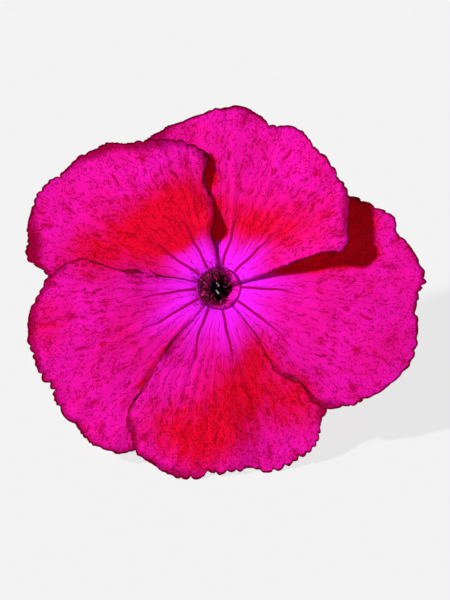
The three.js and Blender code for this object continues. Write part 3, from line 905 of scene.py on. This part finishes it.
def bract_finish():
    """Leafy green bract: long nerves, a pale papery edge and a brown-tipped awn."""
    leaf = Finish("bract_leaf", Roughness=0.6, Specular_IOR_Level=0.3)
    across, v, inside = leaf.parts(leaf.attribute("leaf"))
    cloud, fine = leaf.cloud_and_grain(300.0, 2400.0)
    nerve = abs((across * 4.0 + (cloud - 0.5) * 0.3).maths("FRACT") - 0.5)
    nerve = leaf.fall(nerve, 0.06, 0.22)
    colour = leaf.colour(srgb(88, 130, 48), srgb(124, 160, 66), leaf.rise(cloud, 0.35, 0.65))
    colour = leaf.colour(colour, srgb(160, 186, 98), nerve * 0.55)
    papery = leaf.fall(inside + (fine - 0.5) * 0.1, 0.05, 0.2) * leaf.fall(v, 0.5, 0.66)
    colour = leaf.colour(colour, srgb(206, 204, 158), papery * 0.8)
    colour = leaf.colour(colour, srgb(120, 52, 58), leaf.rise(v + (cloud - 0.5) * 0.3, 0.6, 0.95) * 0.9)
    leaf.feed(Base_Color=colour, Normal=leaf.bump(nerve + fine * 0.4, 0.00005, 0.7))
    return leaf.let_light_through(srgb(150, 190, 60), 0.12)


# ---- stalk -------------------------------------------------------------------------------
STALK_ROWS = 99
STALK_TOP_RADIUS = CALYX_NECK_RADIUS - 0.14


def make_stalk(material):
    # From the pith of the cut end, up the stalk and its swollen node, into the calyx.
    profile = [
        (0.0, STALK_END_Z), (0.3, STALK_END_Z), (STALK_RADIUS * 0.9, STALK_END_Z),
        (STALK_RADIUS, STALK_END_Z + 0.06), (STALK_RADIUS, STALK_END_Z + 1.2),
        (STALK_RADIUS * 0.97, CALYX_BASE_Z - 1.1), (0.98, CALYX_BASE_Z - 0.6),
        (1.0, CALYX_BASE_Z - 0.25), (STALK_TOP_RADIUS, CALYX_BASE_Z - 0.13),
        (STALK_TOP_RADIUS, CALYX_BASE_Z + 0.6), (0.5, CALYX_BASE_Z + 1.1),
        (0.0, CALYX_BASE_Z + 1.25),
    ]

    def build(bm):
        stem = bm.verts.layers.float_vector.new("stem")

        def shape(turn, row):
            share = row / STALK_ROWS
            radius, z = along_profile(profile, share)
            middle = smooth(share, 0.2, 0.3) * (1 - smooth(share, 0.45, 0.6))
            radius *= 1 + 0.05 * middle * math.cos(8 * math.pi * turn) + 0.03 * ripple(turn * 6, z, 1.0)
            point = polar(360 * turn, radius, z)
            if share < 0.4:
                point.z += STALK_CUT_SLANT * point.x * (1 - smooth(share, 0.27, 0.4))
            return follow_tube(point)

        for vert in wrapped(bm, 64, STALK_ROWS, shape):
            aside, out = vert.co.x + TUBE_OFFSET, math.hypot(vert.co.x + TUBE_OFFSET, vert.co.y)
            cut = 1.0 if vert.co.z - STALK_CUT_SLANT * aside < STALK_END_Z + 0.02 else 0.0
            vert[stem] = (cut, out, 0.0)

    return piece("cut_stalk", build, material, ["stalk"])


def stalk_finish():
    """Smooth green stalk with a faint bloom, and a pale, wet cut end with its pith."""
    stem = Finish("stalk_skin", Roughness=0.5, Specular_IOR_Level=0.4)
    cut, out, _ = stem.parts(stem.attribute("stem"))
    cloud, fine = stem.cloud_and_grain(240.0, 2800.0)
    skin = stem.colour(srgb(104, 146, 66), srgb(138, 174, 96), stem.rise(cloud, 0.35, 0.65))
    skin = stem.colour(skin, srgb(170, 190, 150), stem.rise(fine, 0.5, 0.75) * 0.35)
    round_pith = stem.rise(out + (fine - 0.5) * 0.1, 0.3, 0.5)
    pith = stem.colour(srgb(222, 226, 190), srgb(168, 196, 116), round_pith)
    pith = stem.colour(pith, srgb(110, 146, 66), stem.rise(out, 0.56, 0.64))
    colour = stem.colour(skin, pith, cut)
    return stem.feed(Base_Color=colour, Normal=stem.bump(fine, 0.00004, 0.6))


# ---- stamens and pistil ------------------------------------------------------------------
FILAMENT_STEPS = 24
FILAMENT_RADII = (0.09, 0.055)
# Half the width, depth and length of an anther's lobe, and how far it stands to the side.
ANTHER_LOBE = (0.085, 0.11, 0.42)
ANTHER_LOBE_ASIDE = 0.07
OVARY_ROWS = 48
STYLE_STEPS = 14
STYLE_RADIUS = 0.07
STIGMA_TAPER = 0.04


def make_stamen(index, material):
    rng = random.Random(40 + index)
    angle = 360 / STAMEN_COUNT * index + 9
    anther_z = ANTHER_LEVELS[index % 2]
    base = polar(angle, STAMEN_RING_RADIUS, CALYX_BASE_Z + 1.45)
    top = polar(angle + rng.uniform(-4, 4), STAMEN_RING_RADIUS + rng.uniform(-0.05, 0.03), anther_z)
    name = f"stamen_{index + 1:02d}"

    def build(bm):
        kind = bm.verts.layers.float.new("pollen")
        path = [base.lerp(top, t / FILAMENT_STEPS) for t in range(FILAMENT_STEPS + 1)]
        radii = [mix(*FILAMENT_RADII, t / FILAMENT_STEPS) for t in range(1, FILAMENT_STEPS)]
        strand(bm, path, [0.0, *radii, 0.0])
        filament = set(bm.verts)
        lean = Matrix.Rotation(math.radians(rng.uniform(-14, 14)), 4, "Y")
        turn = Matrix.Rotation(math.radians(angle + rng.uniform(-30, 30)), 4, "Z")
        half_width, half_depth, half_length = ANTHER_LOBE
        for side in (-1, 1):
            lobe = bmesh.ops.create_uvsphere(bm, u_segments=16, v_segments=12, radius=1)["verts"]
            for vert in lobe:
                x, y, z = vert.co
                pinch = 1 - 0.18 * abs(z)
                vert.co = Vector((x * half_width, y * half_depth * pinch, z * half_length))
                vert.co.x += side * ANTHER_LOBE_ASIDE
                vert.co += vert.co.normalized() * 0.012 * ripple(*(vert.co * 30))
                vert.co = top + turn @ lean @ vert.co
        for vert in bm.verts:
            vert[kind] = 0.0 if vert in filament else 1.0
            vert.co = follow_tube(vert.co)

    return piece(f"{name}_grown", build, material, [name])


def stamen_finish():
    """Pale filament and a powdery lilac-grey anther."""
    dust = Finish("stamen_dust", Roughness=0.85, Specular_IOR_Level=0.2)
    pollen = dust.attribute("pollen", output="Fac")
    place = dust.place()
    grain = dust.noise(place, 9000.0, 2.0, 0.6)
    cloud = dust.noise(place, 2200.0, 2.0)
    powder = dust.rise(grain * 0.6 + cloud * 0.4, 0.42, 0.66)
    anther = dust.colour(srgb(58, 30, 66), srgb(146, 118, 158), powder)
    filament = dust.colour(srgb(226, 190, 220), srgb(200, 130, 190), dust.rise(cloud, 0.4, 0.7))
    colour = dust.colour(filament, anther, pollen)
    return dust.feed(Base_Color=colour, Normal=dust.bump(grain, 0.00003, 0.8))


def make_pistil(material):
    foot = CALYX_BASE_Z + 1.4

    def build(bm):
        tip = bm.verts.layers.float.new("tip")
        ovary = [(0.0, 0.0), (0.3, 0.05), (0.42, 1.2), (0.42, 2.6), (0.3, 4.0), (0.1, 4.5), (0.0, 4.6)]

        def body(turn, row):
            radius, z = along_profile(ovary, row / OVARY_ROWS)
            return polar(360 * turn, radius * (1 - 0.05 * abs(math.cos(4 * math.pi * turn))), foot + z)

        wrapped(bm, 32, OVARY_ROWS, body)
        for angle, lean in ((70, 40), (250, 28)):
            knots = [
                polar(angle, 0.13, foot + 3.4), polar(angle, 0.16, -6), polar(angle, 0.16, -1.6),
                polar(angle, 0.24, -0.85), polar(angle + lean, 0.42, -0.42),
            ]
            path = smooth_path(knots, STYLE_STEPS)
            last = len(path) - 1
            radii = [STYLE_RADIUS - STIGMA_TAPER * smooth(i / last, 0.6, 0.95) for i in range(1, last)]
            strand(bm, path, [0.0, *radii, 0.0], 12)
        for vert in bm.verts:
            vert[tip] = smooth(vert.co.z, -1.9, -0.9)
            vert.co = follow_tube(vert.co)

    return piece("pistil_grown", build, material, ["pistil"])


def pistil_finish():
    """Waxy white-green ovary and styles, the stigmas white with short papillae."""
    wax = Finish("pistil_wax", Roughness=0.45, Specular_IOR_Level=0.4)
    tip = wax.attribute("tip", output="Fac")
    place = wax.place()
    grain = wax.noise(place, 8000.0, 2.0, 0.6)
    colour = wax.colour(srgb(176, 196, 130), srgb(232, 224, 234), tip)
    colour = wax.colour(colour, srgb(255, 250, 252), wax.rise(grain, 0.45, 0.6) * tip)
    return wax.feed(Base_Color=colour, Normal=wax.bump(grain, 0.00004, 0.9))


make_calyx(calyx_finish())
bract_skin = bract_finish()
for index, bract_name in enumerate(BRACTS):
    make_bract(bract_name, 3.3 * index, bract_skin)
make_stalk(stalk_finish())
stamen_skin = stamen_finish()
for index in range(STAMEN_COUNT):
    make_stamen(index, stamen_skin)
make_pistil(pistil_finish())


# ---- floor, light and camera -------------------------------------------------------------
WHITE = (1, 1, 1, 1)
TABLE_HALF_WIDTH = 1500 * MM
TABLE_GLOW = 0.78
ROOM_LIGHT = 0.1
ROOM_LOOK = 0.86
# The lamp's bearing and height as seen from the face, its strength and the angle it fills.
KEY_BEARING, KEY_ELEVATION = 152, 36
KEY_STRENGTH, KEY_SOFTNESS = 4.9, 4.0
VIEW_CENTRE = Vector((0.45, -0.9, 0.0))
VIEW_HEIGHT = 45.0
LENS_LENGTH, SENSOR_WIDTH = 200, 36


def make_floor():
    bm = bmesh.new()
    bmesh.ops.create_grid(bm, x_segments=1, y_segments=1, size=TABLE_HALF_WIDTH)
    mesh = bpy.data.meshes.new("table")
    bm.to_mesh(mesh)
    bm.free()
    paper = Finish("pale_table", Roughness=0.9, Specular_IOR_Level=0.0)
    paper.shader.inputs["Emission Color"].default_value = WHITE
    paper.shader.inputs["Emission Strength"].default_value = TABLE_GLOW
    tone = paper.noise(paper.place(), 900.0, 2.0)
    mesh.materials.append(
        paper.feed(Base_Color=paper.colour((0.09, 0.09, 0.09, 1), (0.11, 0.11, 0.11, 1), tone))
    )
    floor = bpy.data.objects.new("table", mesh)
    bpy.context.scene.collection.objects.link(floor)


def aim(from_place, to_place, up):
    """A turn that looks from one place to the other, for a lamp or the camera."""
    back = (from_place - to_place).normalized()
    right = up.cross(back).normalized()
    turn = Matrix((right, back.cross(right), back)).transposed().to_4x4()
    return Matrix.Translation(from_place) @ turn


def make_key(direction, strength, softness):
    """One far, even studio lamp; softness is the angle that it fills, in degrees."""
    lamp = bpy.data.lights.new("key", "SUN")
    lamp.energy = strength
    lamp.angle = math.radians(softness)
    holder = bpy.data.objects.new("key", lamp)
    holder.matrix_world = aim(THROAT_PLACE + direction * 0.5, THROAT_PLACE, Vector((0, 0, 1)))
    bpy.context.scene.collection.objects.link(holder)


def face_direction(azimuth, elevation):
    """A direction given as a bearing in the face's plane and a height above it."""
    local = polar(azimuth, math.cos(math.radians(elevation)), math.sin(math.radians(elevation)))
    return (FACE_TURN.to_3x3() @ local).normalized()


def make_camera():
    lens = bpy.data.cameras.new("camera")
    lens.sensor_width = SENSOR_WIDTH
    lens.lens = LENS_LENGTH
    lens.clip_start = 0.01
    lens.clip_end = 10
    distance = LENS_LENGTH * VIEW_HEIGHT / SENSOR_WIDTH * MM
    aim_at = PLACE @ VIEW_CENTRE
    up = FACE_TURN.to_3x3() @ Vector((0, 1, 0))
    normal = FACE_TURN.to_3x3() @ Vector((0, 0, 1))
    camera = bpy.data.objects.new("camera", lens)
    camera.matrix_world = aim(aim_at + normal * distance, aim_at, up)
    bpy.context.scene.collection.objects.link(camera)
    bpy.context.scene.camera = camera


def light_studio():
    world = bpy.data.worlds.new("studio")
    world.use_nodes = True
    # The room looks as pale as the table, but adds only a little light of its own.
    nodes, links = world.node_tree.nodes, world.node_tree.links
    glow = nodes["Background"]
    glow.inputs["Color"].default_value = WHITE
    glow.inputs["Strength"].default_value = ROOM_LIGHT
    wall = nodes.new("ShaderNodeBackground")
    wall.inputs["Color"].default_value = WHITE
    wall.inputs["Strength"].default_value = ROOM_LOOK
    seen = nodes.new("ShaderNodeMixShader")
    links.new(nodes.new("ShaderNodeLightPath").outputs["Is Camera Ray"], seen.inputs[0])
    links.new(glow.outputs[0], seen.inputs[1])
    links.new(wall.outputs[0], seen.inputs[2])
    links.new(seen.outputs[0], nodes["World Output"].inputs["Surface"])
    bpy.context.scene.world = world
    make_key(face_direction(KEY_BEARING, KEY_ELEVATION), KEY_STRENGTH, KEY_SOFTNESS)
    bpy.context.scene.view_settings.view_transform = "Standard"


make_floor()
make_camera()
light_studio()
